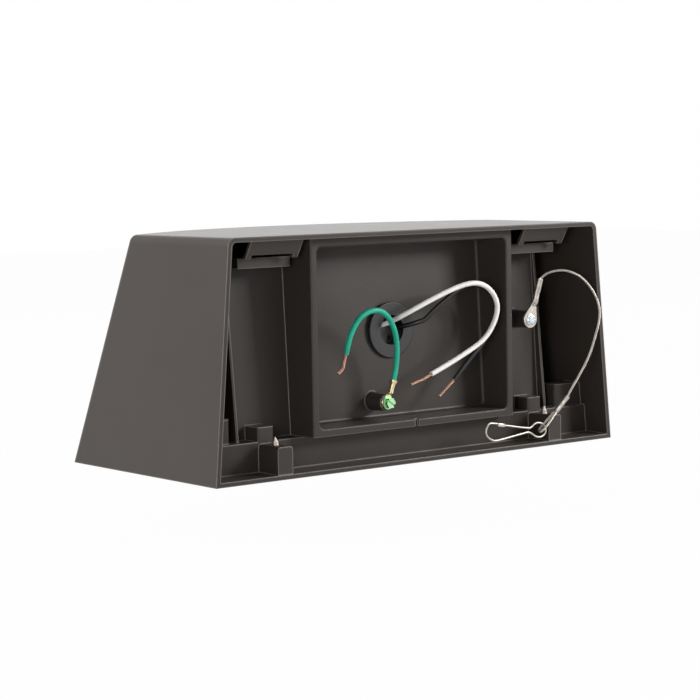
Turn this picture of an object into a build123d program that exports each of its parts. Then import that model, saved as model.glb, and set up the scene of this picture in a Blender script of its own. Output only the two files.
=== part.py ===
"""Outdoor wall light with a wedge-shaped die-cast housing, seen from behind as it is being wired.

Millimetres, +Z up. The wall is the plane y = 0 and the light stands out towards -Y.
The origin is the middle of the bottom flange's rear edge, on the wall.
"""
import math
import os

from build123d import *

os.makedirs("parts", exist_ok=True)

# Housing shell: a wedge, wider and deeper at the bottom, with a bowed front
height = 150.0
width_bottom = 333.0
width_top = 307.0
depth_bottom = 164.0
depth_top = 108.0
front_bow = 54.0
wall = 3.0
top_round = 5.5
side_round = 6.0
core_round = 3.0
over = 1.0

# Lens compartment along the bottom, set in from the wall plane
flange = 3.0
lens_wall_y = 21.0
deck_top = 22.0
land_width = 6.0
seat_z = 6.5

# Sealed chamber for the driver and the light, with a rear wall that leans forwards
chamber_margin = 35.1
chamber_top = 134.0
chamber_rear_low = 34.0
chamber_rear_high = 40.0
chamber_rib = 1.8
chamber_rib_low = 27.4
chamber_rib_high = 38.2

# Wiring box on the chamber's rear wall
box_half = 84.7
rim_width = 5.2
rim_recess = 10.0
rim_bottom_bar = 5.0
rim_top_bar = 5.7
rim_round = 4.0
rim_edge_round = 1.0
box_floor_round = 2.0
chamber_round = 2.5
weep_width = 3.2
weep_depth = 1.5

# Hooks under the top wall and the ledges in front of them
hook_in = 93.0
hook_width = 39.7
hook_root_y = 4.4
hook_tip_y = 12.5
hook_drop = 14.3
hook_thick = 2.6
hook_gap = 5.4
hook_leg = 3.8
hook_notch = 2.5
ledge_low = 129.8
ledge_high = 136.2

# Blocks that take the wall plate's lower edge, with a lock screw in each lower one
block_x = 113.9
block_width = 11.3
upper_block_width = 12.4
upper_block_round = 1.2
upper_block_top = 31.0
lower_block_top = 20.4
lower_block_set_in = 0.6
lower_block_round = 2.0
lock_screw_y = 11.2
lock_screw_d = 4.9
lock_screw_length = 22.4
lock_screw_bottom = 3.2
lock_screw_point = 3.4
lock_screw_socket = 2.5
running_gap = 0.06

# Door, lens and seals
door_gap = 0.4
door_thick = 5.0
rebate_inset = 22.0
window_inset = 28.0
rebate_floor = 2.0
lens_seal_thick = 1.0
lens_thick = 3.0
lens_gap = 0.4
seal_margin = 0.8
door_screw_margin = 12.5
door_screw_rear_y = 32.0
door_screw_front_margin = 32.0
door_boss_d = 15.0
door_boss_top = 37.5
door_block_reach = 13.5
door_block_round = 4.0
door_rib = 3.0
door_screw_d = 3.8
door_screw_head_d = 7.0
door_screw_head = 2.4
door_screw_top = 29.0
screw_gap = 0.05
head_gap = 0.3

# Light engine under the deck
tray_thick = 3.0
tray_edge = 7.0
tray_rear_gap = 13.0
tray_front_gap = 16.0
tray_screw_out = 4.0
tray_screw_rear_edge = 12.0
tray_screw_front_edge = 16.0
tray_boss_d = 9.0
tray_boss_height = 6.0
tray_screw_d = 3.0
tray_screw_head_d = 6.0
tray_screw_head = 2.0
board_x = 63.0
board_y = 94.0
board_width = 112.0
board_depth = 64.0
board_thick = 1.6
optic_margin = 3.0
optic_thick = 4.0
optic_wall = 3.0
optic_air = 1.2
optic_rows = 2
emitter_columns = 4
ridge_width = 22.0
ridge_height = 3.0
emitter_pitch = 25.5
emitter_size = 5.0
emitter_thick = 0.8
driver_width = 150.0
driver_depth = 58.0
driver_height = 34.0
driver_foot = 9.0
driver_foot_thick = 2.0
driver_screw_d = 4.0
driver_screw_head_d = 7.5
driver_screw_head = 2.2

# Wire gland through the box's floor
gland_z = 83.5
gland_pad_d = 41.0
gland_pad_proud = 1.0
gland_pad_inside = 2.2
gland_flange_d = 37.0
gland_flange_thick = 1.8
gland_flange_round = 0.8
gland_cup_d = 19.6
gland_cup_depth = 8.0
gland_barrel_d = 22.0
gland_barrel_length = 15.0
gland_hole_depth = 2.0
gland_hole_gap = 0.2
gland_nut_flats = 29.0
gland_nut_thick = 4.5
fit_gap = 0.25

# Supply leads
lead_d = 2.8
copper_d = 1.5

# Ground screw and ring terminal on a boss in the box
ground_x = 17.3
ground_z = 38.1
ground_boss_d = 10.5
boss_draft = 4.0
ground_boss_y = 20.0
ground_ring_d = 8.6
ground_ring_thick = 0.8
ground_neck = 3.4
ground_barrel_d = 3.8
ground_barrel_start = 5.6
ground_lean = 18.2
ground_screw_d = 4.0
ground_washer_d = 8.4
ground_washer = 1.0
ground_hex = 6.3
ground_head = 3.2
ground_slot = 1.2
ground_slot_depth = 1.4
ground_screw_reach = 10.0

# Lanyard: screw, eye terminal, steel cable, ferrule, loop and bent-wire snap hook
lanyard_x = -109.3
lanyard_z = 84.6
lanyard_boss_d = 11.0
lanyard_boss_y = 20.0
lanyard_eye_d = 11.8
lanyard_eye_thick = 1.5
lanyard_neck = 4.6
lanyard_lean = 18.1
lanyard_barrel_start = 10.5
lanyard_barrel_end = 28.6
lanyard_barrel_thick = 3.2
lanyard_screw_d = 4.2
lanyard_washer_d = 7.8
lanyard_washer = 0.8
lanyard_hex = 5.9
lanyard_head = 2.6
lanyard_screw_reach = 12.0
cable_d = 1.5
ferrule_d = 3.4
loop_half_gap = 2.3
loop_end_gap = 0.15
hook_y = 1.6
hook_wire = 1.6
latch_length = 6.0
latch_size = 2.6

# Points of the snap hook's wire in its own plane, as (x, z), from the latch round to the neck
hook_outline = [
    (-59.0, 19.6), (-49.9, 20.0), (-49.9, 8.6), (-89.2, 11.0), (-92.6, 7.6),
    (-102.9, 7.6), (-102.9, 16.6), (-92.6, 16.6), (-90.0, 14.2),
]
hook_radii = [5.4, 5.4, 1.8, 4.0, 4.3, 4.3, 4.0]
gate_start = (-88.6, 13.8)
gate_end = (-65.3, 17.7)
loop_point = (-98.9, 11.5)
ferrule_low = (-112.5, 1.8, 22.9)
ferrule_high = (-122.8, 2.6, 32.5)

# Routes of the cords, each from where it leaves the light to its end
white_route = [
    (6.3, -44.3, 86.0), (6.3, -27.5, 86.0), (4.5, -22.5, 90.0), (-6.5, -18.0, 97.3),
    (-19.5, -15.0, 104.0), (-33.5, -12.5, 109.3), (-47.5, -10.5, 112.4), (-59.5, -9.5, 110.2),
    (-67.6, -9.0, 102.9), (-69.8, -9.0, 93.2), (-66.3, -9.5, 83.2), (-59.0, -10.5, 74.2),
    (-46.5, -11.6, 66.0), (-30.5, -12.6, 59.4), (-16.5, -13.0, 55.0),
]
white_strip = 19.2
black_route = [
    (-6.6, -44.3, 85.4), (-6.6, -27.0, 85.4), (-9.8, -21.0, 86.4), (-16.5, -17.8, 89.2),
    (-25.0, -17.0, 94.6), (-36.0, -17.0, 102.0), (-47.5, -16.0, 108.6), (-59.5, -15.0, 110.6),
    (-69.0, -14.5, 105.4), (-73.2, -14.5, 96.2), (-71.6, -15.0, 86.0), (-66.3, -15.8, 76.8),
    (-59.8, -16.6, 68.2), (-51.0, -17.7, 59.4), (-39.8, -18.8, 49.6),
]
black_strip = 16.4
green_bends = [
    (10.6, -16.4, 61.4), (10.8, -14.4, 68.0), (12.2, -13.0, 75.5), (15.4, -12.0, 84.5),
    (20.6, -11.2, 92.6), (28.2, -11.0, 98.2), (36.4, -11.4, 98.8), (43.6, -12.2, 94.6),
    (49.4, -13.0, 87.6), (52.8, -14.0, 79.6), (54.7, -15.0, 72.9),
]
green_lead_in = 4.2
green_strip = 7.0
green_tip = (59.1, -16.5, 60.4)
cable_bends = [
    (-121.6, -16.6, 117.0), (-127.0, -12.7, 118.6), (-135.0, -7.5, 117.6), (-142.5, -2.5, 112.8),
    (-148.0, 2.0, 104.6), (-150.2, 5.4, 94.5), (-148.8, 7.0, 82.5), (-144.6, 6.8, 70.5),
    (-138.8, 5.4, 57.8), (-132.0, 4.0, 45.5),
]
cable_lead_in = 3.0
cable_lead_out = 4.4

# Sizes and places that follow from the ones above
deck_under = deck_top - wall
inner_top = height - wall
lens_wall_front = lens_wall_y + wall
box_floor_z = deck_top + rim_bottom_bar
box_ceiling = inner_top - rim_top_bar
box_inner = box_half - rim_width
hook_tip_z = height - hook_drop
ledge_y = hook_tip_y + hook_thick + hook_gap
chamber_half = width_bottom / 2 - chamber_margin
front_reach = depth_bottom + front_bow + over
door_screw_x = width_bottom / 2 - wall - door_screw_margin
door_screw_front_y = depth_bottom - door_screw_front_margin
door_screw_places = [
    (side * door_screw_x, -y) for side in (1, -1) for y in (door_screw_rear_y, door_screw_front_y)
]
tray_screw_x = chamber_half + tray_screw_out
tray_half = tray_screw_x + tray_edge
tray_rear_y = lens_wall_front + land_width + tray_rear_gap
tray_front_y = depth_bottom - tray_front_gap
tray_screw_rear_y = tray_rear_y + tray_screw_rear_edge
tray_screw_front_y = tray_front_y - tray_screw_front_edge
tray_screw_places = [
    (side * tray_screw_x, -y) for side in (1, -1) for y in (tray_screw_rear_y, tray_screw_front_y)
]
tray_under = deck_under - tray_thick
board_under = tray_under - board_thick
optic_under = board_under - optic_thick
board_places = [(side * board_x, -board_y) for side in (1, -1)]
driver_foot_x = driver_width / 2 + driver_foot / 2
ground_barrel_end = 14.7


def half_width(z):
    """Half the shell's width at a height."""
    return (width_bottom + (width_top - width_bottom) * z / height) / 2


def side_depth(z):
    """Depth of the shell's side walls at a height."""
    return depth_bottom + (depth_top - depth_bottom) * z / height


def floor_y(z):
    """Place of the chamber's leaning rear wall at a height, on its rear side."""
    share = (z - deck_top) / (chamber_top - deck_top)
    return -(chamber_rear_low + (chamber_rear_high - chamber_rear_low) * share)


def shell_section(z, inset=0.0, rear=0.0):
    """Level slice of the shell, set in from its sides and front, and closed at a rear plane."""
    bow_radius = (half_width(z) ** 2 + front_bow**2) / (2 * front_bow)
    bow_centre = bow_radius - side_depth(z) - front_bow
    half = half_width(z) - inset
    radius = bow_radius - inset
    corner = bow_centre - math.sqrt(radius**2 - half**2)
    with BuildSketch(Plane.XY.offset(z)) as slice_:
        with BuildLine():
            Polyline((half, corner), (half, rear), (-half, rear), (-half, corner))
            ThreePointArc((-half, corner), (0, bow_centre - radius), (half, corner))
        make_face()
    return slice_.sketch


def level_strip(z, inset, rear, front):
    """Level slice of the space between the side walls, from a rear plane to a front one."""
    half = half_width(z) - inset
    with BuildSketch(Plane.XY.offset(z)) as slice_:
        with BuildLine():
            Polyline((half, front), (half, rear), (-half, rear), (-half, front), close=True)
        make_face()
    return slice_.sketch


def slab(points, x_from, x_to):
    """Solid with an outline in the Y-Z plane, between two places along X."""
    with BuildPart() as solid:
        with BuildSketch(Plane.YZ.offset(x_from)):
            with BuildLine():
                Polyline(*points, close=True)
            make_face()
        extrude(amount=x_to - x_from)
    return solid.part


def corner_radii(points):
    """Largest even bend at each corner of a cord's route."""
    radii = []
    for before, here, after in zip(points, points[1:], points[2:]):
        run_in = Vector(*here) - Vector(*before)
        run_out = Vector(*after) - Vector(*here)
        half_turn = math.radians(run_in.get_angle(run_out)) / 2
        radii.append(0.45 * min(run_in.length, run_out.length) / math.tan(half_turn))
    return radii


def cord_tube(name, points, diameter):
    """Round tube along straight runs joined by tangent arcs."""
    radii = corner_radii(points)
    with BuildPart() as tube:
        with BuildLine() as route:
            FilletPolyline(*points, radius=radii)
        path = route.wire()
        with BuildSketch(Plane(origin=path @ 0, z_dir=path % 0)):
            Circle(diameter / 2)
        sweep(path=path)
    section = math.pi * diameter**2 / 4
    share = tube.part.volume / (section * path.length)
    print(name, "length", round(path.length, 1), "radii", [round(r, 1) for r in radii])
    print(name, "volume over section times length", round(share, 4))
    return tube.part


def run_on(route, distance):
    """Point straight on from a route's last run."""
    last = Vector(*route[-1])
    return tuple(last + (last - Vector(*route[-2])).normalized() * distance)


def along(start, end):
    """Plane at a start point that looks towards an end point."""
    return Plane(origin=start, z_dir=Vector(*end) - Vector(*start))


def finish(part, name):
    """Label a piece and write it."""
    part.label = name
    export_step(part, f"parts/{name}.step")


# Outer form of the casting
with BuildPart() as shell:
    loft(sections=[shell_section(0, rear=over), shell_section(height, rear=over)], ruled=True)
    split(bisect_by=Plane.XZ, keep=Keep.TOP)
    upright = shell.edges().filter_by(
        lambda e: e.center().Y < -wall and e.bounding_box().size.Z > height / 2
    )
    fillet(upright, side_round)
    top_edges = shell.faces().sort_by(Axis.Z)[-1].edges().filter_by(lambda e: e.center().Y < -over)
    fillet(top_edges, top_round)

# Cores that leave the casting's hollows
with BuildPart() as rear_core:
    loft(
        sections=[shell_section(deck_top, wall, over), shell_section(inner_top, wall, over)],
        ruled=True,
    )
    upright = rear_core.edges().filter_by(
        lambda e: e.center().Y < -wall and e.bounding_box().size.Z > height / 2
    )
    ceiling = rear_core.faces().sort_by(Axis.Z)[-1].edges().filter_by(lambda e: e.center().Y < 0)
    fillet(upright + ceiling, core_round)

with BuildPart() as step_core:
    loft(
        sections=[
            level_strip(flange, wall, over, -lens_wall_y),
            level_strip(deck_top, wall, over, -lens_wall_y),
        ],
        ruled=True,
    )

with BuildPart() as seat_core:
    loft(
        sections=[
            shell_section(-over, wall, -lens_wall_front),
            shell_section(seat_z, wall, -lens_wall_front),
        ],
        ruled=True,
    )

with BuildPart() as lens_core:
    loft(
        sections=[
            shell_section(-over, wall + land_width, -lens_wall_front - land_width),
            shell_section(deck_under, wall + land_width, -lens_wall_front - land_width),
        ],
        ruled=True,
    )

with BuildPart() as chamber_block:
    add(
        slab(
            [
                (floor_y(deck_under), deck_under),
                (floor_y(chamber_top), chamber_top),
                (-front_reach, chamber_top),
                (-front_reach, deck_under),
            ],
            -chamber_half,
            chamber_half,
        )
    )
    rear_face = chamber_block.faces().sort_by(Axis.Y)[-1]
    fillet(rear_face.edges().filter_by(lambda e: e.center().Z > deck_top), chamber_round)
    add(shell.part, mode=Mode.INTERSECT)

with BuildPart() as chamber_core:
    add(
        slab(
            [
                (floor_y(deck_under - over) - wall, deck_under - over),
                (floor_y(chamber_top - wall) - wall, chamber_top - wall),
                (-front_reach, chamber_top - wall),
                (-front_reach, deck_under - over),
            ],
            wall - chamber_half,
            chamber_half - wall,
        )
    )
    loft(
        sections=[shell_section(0, wall), shell_section(inner_top, wall)],
        ruled=True,
        mode=Mode.INTERSECT,
    )

with BuildPart() as box_core:
    add(
        slab(
            [
                (over, box_floor_z),
                (over, box_ceiling),
                (floor_y(box_ceiling), box_ceiling),
                (floor_y(box_floor_z), box_floor_z),
            ],
            -box_inner,
            box_inner,
        )
    )
    fillet(box_core.edges().filter_by(Axis.Y), rim_round)
    fillet(box_core.faces().sort_by(Axis.Y)[0].edges(), box_floor_round)

# Housing: one casting with its chamber, wiring box, hooks, blocks and bosses
with BuildPart() as housing:
    add(shell.part)
    add(rear_core.part, mode=Mode.SUBTRACT)
    add(step_core.part, mode=Mode.SUBTRACT)
    add(chamber_block.part)
    box_walls = [
        (-rim_recess, deck_top),
        (-rim_recess, inner_top + wall / 2),
        (floor_y(inner_top) - wall, inner_top + wall / 2),
        (floor_y(deck_top) - wall, deck_top),
    ]
    add(slab(box_walls, -box_half, box_half))
    with BuildSketch(Plane.XZ.offset(-floor_y(gland_z) - gland_pad_proud)):
        with Locations((0, gland_z)):
            Circle(gland_pad_d / 2)
    extrude(amount=gland_pad_proud + wall)
    for side in (1, -1):
        hook_plate = [
            (-hook_root_y, inner_top + wall / 2),
            (-hook_tip_y, hook_tip_z),
            (-hook_tip_y - hook_thick, hook_tip_z),
            (-hook_root_y - hook_thick, inner_top + wall / 2),
        ]
        hook_out = hook_in + hook_width
        add(slab(hook_plate, side * hook_in, side * hook_out))
        notch = [
            (0, hook_tip_z - over),
            (0, hook_tip_z + hook_notch),
            (-hook_tip_y - 2 * hook_thick, hook_tip_z + hook_notch),
            (-hook_tip_y - 2 * hook_thick, hook_tip_z - over),
        ]
        add(
            slab(notch, side * (hook_in + hook_leg), side * (hook_out - hook_leg)),
            mode=Mode.SUBTRACT,
        )
        ledge = [
            (-ledge_y, ledge_low),
            (-ledge_y, ledge_high),
            (floor_y(chamber_top) - wall, ledge_high),
            (floor_y(chamber_top) - wall, ledge_low),
        ]
        add(slab(ledge, side * hook_in, side * hook_out))
        rib = [
            (-chamber_rib_low, deck_under),
            (-chamber_rib_high, chamber_top - chamber_round),
            (floor_y(chamber_top) - wall, chamber_top - chamber_round),
            (floor_y(deck_under) - wall, deck_under),
        ]
        add(slab(rib, side * (chamber_half - chamber_rib), side * chamber_half))
        upper_block = [
            (-lens_wall_y, deck_top),
            (-lens_wall_y, upper_block_top),
            (floor_y(upper_block_top) - wall / 2, upper_block_top),
            (floor_y(deck_top) - wall / 2, deck_top),
        ]
        upper_half = side * upper_block_width / 2
        with BuildPart(mode=Mode.PRIVATE) as rounded_block:
            add(slab(upper_block, side * block_x - upper_half, side * block_x + upper_half))
            fillet(rounded_block.edges().filter_by(Axis.Z).sort_by(Axis.Y)[-2:], upper_block_round)
        add(rounded_block.part)
        block_in = side * (block_x - block_width / 2)
        block_out = side * (block_x + block_width / 2)
        lower_block = [
            (-lower_block_set_in, flange / 2),
            (-lower_block_set_in, lower_block_top),
            (-lens_wall_y - wall / 2, lower_block_top),
            (-lens_wall_y - wall / 2, flange / 2),
        ]
        add(slab(lower_block, block_in, block_out))
    add(chamber_core.part, mode=Mode.SUBTRACT)
    add(lens_core.part, mode=Mode.SUBTRACT)
    add(seat_core.part, mode=Mode.SUBTRACT)
    add(box_core.part, mode=Mode.SUBTRACT)
    rim_faces = housing.faces().filter_by(lambda f: abs(f.center().Y + rim_recess) < 0.01)
    rim = rim_faces.sort_by(SortBy.AREA)[-1]
    rim_sides = rim.outer_wire().edges().filter_by(Axis.Z)
    fillet(rim.inner_wires()[0].edges() + rim_sides, rim_edge_round)
    # bosses for the door's screws: the rear ones in blocks, the front ones on ribs, to the side walls
    with BuildSketch(Plane.XY.offset(seat_z)):
        with Locations(*door_screw_places):
            Circle(door_boss_d / 2)
    extrude(amount=door_boss_top - seat_z)
    with BuildSketch(Plane.XY.offset(deck_under)):
        rib_length = half_width(door_boss_top) - wall / 2 - door_screw_x
        block_length = door_block_reach + door_boss_d / 2
        for side in (1, -1):
            rib_x = side * (door_screw_x + rib_length / 2)
            with Locations((rib_x, -door_screw_front_y)):
                Rectangle(rib_length, door_rib)
            with Locations((rib_x, -door_screw_rear_y)):
                Rectangle(rib_length, door_boss_d)
            with Locations((side * (door_screw_x + (door_boss_d - block_length) / 2), -door_screw_rear_y)):
                RectangleRounded(block_length, door_boss_d, door_block_round)
    extrude(amount=door_boss_top - deck_under)
    with BuildSketch(Plane.XY.offset(deck_under)):
        with Locations(*tray_screw_places):
            Circle(tray_boss_d / 2)
    extrude(amount=wall + tray_boss_height)
    # inner pad for the gland's nut, and bosses in the box and in the side pocket
    with BuildSketch(Plane.XZ.offset(-floor_y(gland_z) + wall / 2)):
        with Locations((0, gland_z)):
            Circle(gland_pad_d / 2)
    extrude(amount=wall / 2 + gland_pad_inside)
    with BuildSketch(Plane.XZ.offset(ground_boss_y)):
        with Locations((ground_x, ground_z)):
            Circle(ground_boss_d / 2)
    extrude(amount=wall / 2 - floor_y(ground_z) - ground_boss_y, taper=-boss_draft)
    with BuildSketch(Plane.XZ.offset(lanyard_boss_y)):
        with Locations((lanyard_x, lanyard_z)):
            Circle(lanyard_boss_d / 2)
    extrude(amount=wall / 2 - floor_y(lanyard_z) - lanyard_boss_y, taper=-boss_draft)
    # holes
    with BuildSketch(Plane.XZ):
        with Locations((0, gland_z)):
            Circle(gland_barrel_d / 2 + fit_gap)
    extrude(amount=-floor_y(gland_z) + wall + gland_pad_inside + over, mode=Mode.SUBTRACT)
    with BuildSketch(Plane.XZ.offset(ground_boss_y)):
        with Locations((ground_x, ground_z)):
            Circle(ground_screw_d / 2)
    extrude(amount=ground_screw_reach, mode=Mode.SUBTRACT)
    with BuildSketch(Plane.XZ.offset(lanyard_boss_y)):
        with Locations((lanyard_x, lanyard_z)):
            Circle(lanyard_screw_d / 2)
    extrude(amount=lanyard_screw_reach, mode=Mode.SUBTRACT)
    with BuildSketch(Plane.XY):
        with Locations((block_x, -lock_screw_y), (-block_x, -lock_screw_y)):
            Circle(lock_screw_d / 2 + running_gap)
    extrude(amount=lower_block_top + over, mode=Mode.SUBTRACT)
    with BuildSketch(Plane.XY.offset(seat_z)):
        with Locations(*door_screw_places):
            Circle(door_screw_d / 2 + screw_gap)
    extrude(amount=door_screw_top + over - seat_z, mode=Mode.SUBTRACT)
    with BuildSketch(Plane.XY.offset(deck_under)):
        with Locations(*tray_screw_places):
            Circle(tray_screw_d / 2 + screw_gap)
    extrude(amount=wall + tray_boss_height - over, mode=Mode.SUBTRACT)
    with BuildSketch(Plane.XZ.offset(rim_recess)):
        with Locations((0, deck_top + rim_bottom_bar / 2)):
            Rectangle(weep_width, rim_bottom_bar)
    extrude(amount=weep_depth, mode=Mode.SUBTRACT)
    block_tops = housing.edges().filter_by(Axis.Y).filter_by(
        lambda e: abs(e.center().Z - lower_block_top) < 0.01 and e.center().Y > -lens_wall_y
    )
    fillet(block_tops, lower_block_round)
finish(housing.part, "housing")

# Lock screws: pointed at the top, with a socket for a key at the bottom
for side, name in ((1, "lock_screw_left"), (-1, "lock_screw_right")):
    with BuildPart() as lock_screw:
        with BuildSketch(Plane.XY.offset(lock_screw_bottom)):
            with Locations((side * block_x, -lock_screw_y)):
                Circle(lock_screw_d / 2)
        extrude(amount=lock_screw_length)
        tip_edge = lock_screw.edges().sort_by(Axis.Z)[-1]
        chamfer(tip_edge, length=lock_screw_point, length2=lock_screw_d / 2 - 0.2)
        with BuildSketch(Plane.XY.offset(lock_screw_bottom)):
            with Locations((side * block_x, -lock_screw_y)):
                RegularPolygon(lock_screw_socket / 2, 6, major_radius=False)
        extrude(amount=lock_screw_socket, mode=Mode.SUBTRACT)
    finish(lock_screw.part, name)

# Door: a frame that closes the lens compartment from below
door_inset = wall + door_gap
door_rear = -lens_wall_front - door_gap
with BuildPart() as door_frame:
    add(extrude(shell_section(door_thick, door_inset, door_rear), amount=-door_thick, mode=Mode.PRIVATE))
    window = shell_section(door_thick, wall + window_inset, -lens_wall_front - window_inset)
    add(extrude(window, amount=-door_thick, mode=Mode.PRIVATE), mode=Mode.SUBTRACT)
    rebate = shell_section(door_thick, wall + rebate_inset, -lens_wall_front - rebate_inset)
    add(extrude(rebate, amount=rebate_floor - door_thick, mode=Mode.PRIVATE), mode=Mode.SUBTRACT)
    with BuildSketch(Plane.XY):
        with Locations(*door_screw_places):
            Circle(door_screw_d / 2 + head_gap)
    extrude(amount=door_thick, mode=Mode.SUBTRACT)
    with BuildSketch(Plane.XY):
        with Locations(*door_screw_places):
            Circle(door_screw_head_d / 2 + head_gap)
    extrude(amount=door_screw_head, mode=Mode.SUBTRACT)
finish(door_frame.part, "door_frame")

with BuildPart() as door_seal:
    outer = shell_section(seat_z, wall + seal_margin, -lens_wall_front - seal_margin)
    add(extrude(outer, amount=door_thick - seat_z, mode=Mode.PRIVATE))
    seal_in = land_width - seal_margin
    inner = shell_section(seat_z, wall + seal_in, -lens_wall_front - seal_in)
    add(extrude(inner, amount=door_thick - seat_z, mode=Mode.PRIVATE), mode=Mode.SUBTRACT)
finish(door_seal.part, "door_seal")

lens_inset = rebate_inset + lens_gap
lens_bottom = rebate_floor + lens_seal_thick
with BuildPart() as lens_seal:
    outer = shell_section(door_thick, wall + lens_inset, -lens_wall_front - lens_inset)
    add(outer.moved(Location((0, 0, rebate_floor - door_thick))), mode=Mode.PRIVATE)
    ring = extrude(outer, amount=-lens_seal_thick, mode=Mode.PRIVATE)
    add(ring.moved(Location((0, 0, lens_bottom - door_thick))))
    hole = extrude(window, amount=-lens_seal_thick, mode=Mode.PRIVATE)
    add(hole.moved(Location((0, 0, lens_bottom - door_thick))), mode=Mode.SUBTRACT)
finish(lens_seal.part, "lens_seal")

with BuildPart() as lens:
    plate = extrude(outer, amount=lens_thick, mode=Mode.PRIVATE)
    add(plate.moved(Location((0, 0, lens_bottom - door_thick))))
finish(lens.part, "lens")

with BuildPart() as door_screws:
    with BuildSketch(Plane.XY):
        with Locations(*door_screw_places):
            Circle(door_screw_head_d / 2)
    extrude(amount=door_screw_head)
    with BuildSketch(Plane.XY):
        with Locations(*door_screw_places):
            Circle(door_screw_d / 2)
    extrude(amount=door_screw_top)
finish(door_screws.part, "door_screws")

# Light engine: a plate under the deck with two boards, their emitters and optics
with BuildPart() as light_tray:
    with BuildSketch(Plane.XY.offset(tray_under)):
        with Locations((0, -(tray_rear_y + tray_front_y) / 2)):
            Rectangle(2 * tray_half, tray_front_y - tray_rear_y)
        with Locations(*tray_screw_places):
            Circle(tray_screw_d / 2 + head_gap, mode=Mode.SUBTRACT)
        with Locations((driver_foot_x, -board_y), (-driver_foot_x, -board_y)):
            Circle(driver_screw_d / 2, mode=Mode.SUBTRACT)
    extrude(amount=tray_thick)
finish(light_tray.part, "light_tray")

with BuildPart() as tray_screws:
    with BuildSketch(Plane.XY.offset(tray_under - tray_screw_head)):
        with Locations(*tray_screw_places):
            Circle(tray_screw_head_d / 2)
    extrude(amount=tray_screw_head)
    with BuildSketch(Plane.XY.offset(tray_under)):
        with Locations(*tray_screw_places):
            Circle(tray_screw_d / 2)
    extrude(amount=tray_thick + wall + tray_boss_height - 2 * over)
finish(tray_screws.part, "tray_screws")

with BuildPart() as led_boards:
    with BuildSketch(Plane.XY.offset(board_under)):
        with Locations(*board_places):
            Rectangle(board_width, board_depth)
    extrude(amount=board_thick)
finish(led_boards.part, "led_boards")

with BuildPart() as led_emitters:
    with BuildSketch(Plane.XY.offset(board_under)):
        with Locations(*board_places):
            with GridLocations(emitter_pitch, emitter_pitch, emitter_columns, optic_rows):
                Rectangle(emitter_size, emitter_size)
    extrude(amount=-emitter_thick)
finish(led_emitters.part, "led_emitters")

optic_width = board_width - 2 * optic_margin
optic_depth = board_depth - 2 * optic_margin
ridge_length = optic_width - 2 * optic_wall
for (x, y), name in zip(board_places, ("optic_left", "optic_right")):
    with BuildPart() as optic:
        with BuildSketch(Plane.XY.offset(optic_under)):
            with Locations((x, y)):
                RectangleRounded(optic_width, optic_depth, optic_wall)
        extrude(amount=optic_thick)
        with BuildSketch(Plane.XY.offset(board_under)):
            with Locations((x, y)):
                Rectangle(optic_width - 2 * optic_wall, optic_depth - 2 * optic_wall)
        extrude(amount=-optic_air, mode=Mode.SUBTRACT)
        for row in range(optic_rows):
            row_y = y + (row - (optic_rows - 1) / 2) * emitter_pitch
            with BuildSketch(Plane.YZ.offset(x - ridge_length / 2)):
                with BuildLine():
                    Line((row_y - ridge_width / 2, optic_under), (row_y + ridge_width / 2, optic_under))
                    ThreePointArc(
                        (row_y + ridge_width / 2, optic_under),
                        (row_y, optic_under - ridge_height),
                        (row_y - ridge_width / 2, optic_under),
                    )
                make_face()
            extrude(amount=ridge_length)
    finish(optic.part, name)

# Driver on top of the plate, inside the chamber
with BuildPart() as driver:
    with BuildSketch(Plane.XY.offset(deck_under)):
        with Locations((0, -board_y)):
            Rectangle(driver_width, driver_depth)
    extrude(amount=driver_height)
    fillet(driver.edges().filter_by(Axis.Z), core_round)
    with BuildSketch(Plane.XY.offset(deck_under)):
        with Locations((driver_foot_x, -board_y), (-driver_foot_x, -board_y)):
            Rectangle(driver_foot + over, driver_depth / 2)
    extrude(amount=driver_foot_thick)
    with BuildSketch(Plane.XY.offset(deck_under)):
        with Locations((driver_foot_x, -board_y), (-driver_foot_x, -board_y)):
            Circle(driver_screw_d / 2 + head_gap)
    extrude(amount=driver_foot_thick, mode=Mode.SUBTRACT)
finish(driver.part, "driver")

with BuildPart() as driver_screws:
    with BuildSketch(Plane.XY.offset(deck_under + driver_foot_thick)):
        with Locations((driver_foot_x, -board_y), (-driver_foot_x, -board_y)):
            Circle(driver_screw_head_d / 2)
    extrude(amount=driver_screw_head)
    with BuildSketch(Plane.XY.offset(deck_under + driver_foot_thick)):
        with Locations((driver_foot_x, -board_y), (-driver_foot_x, -board_y)):
            Circle(driver_screw_d / 2 - screw_gap)
    extrude(amount=-driver_foot_thick - tray_thick / 2)
finish(driver_screws.part, "driver_screws")

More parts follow.
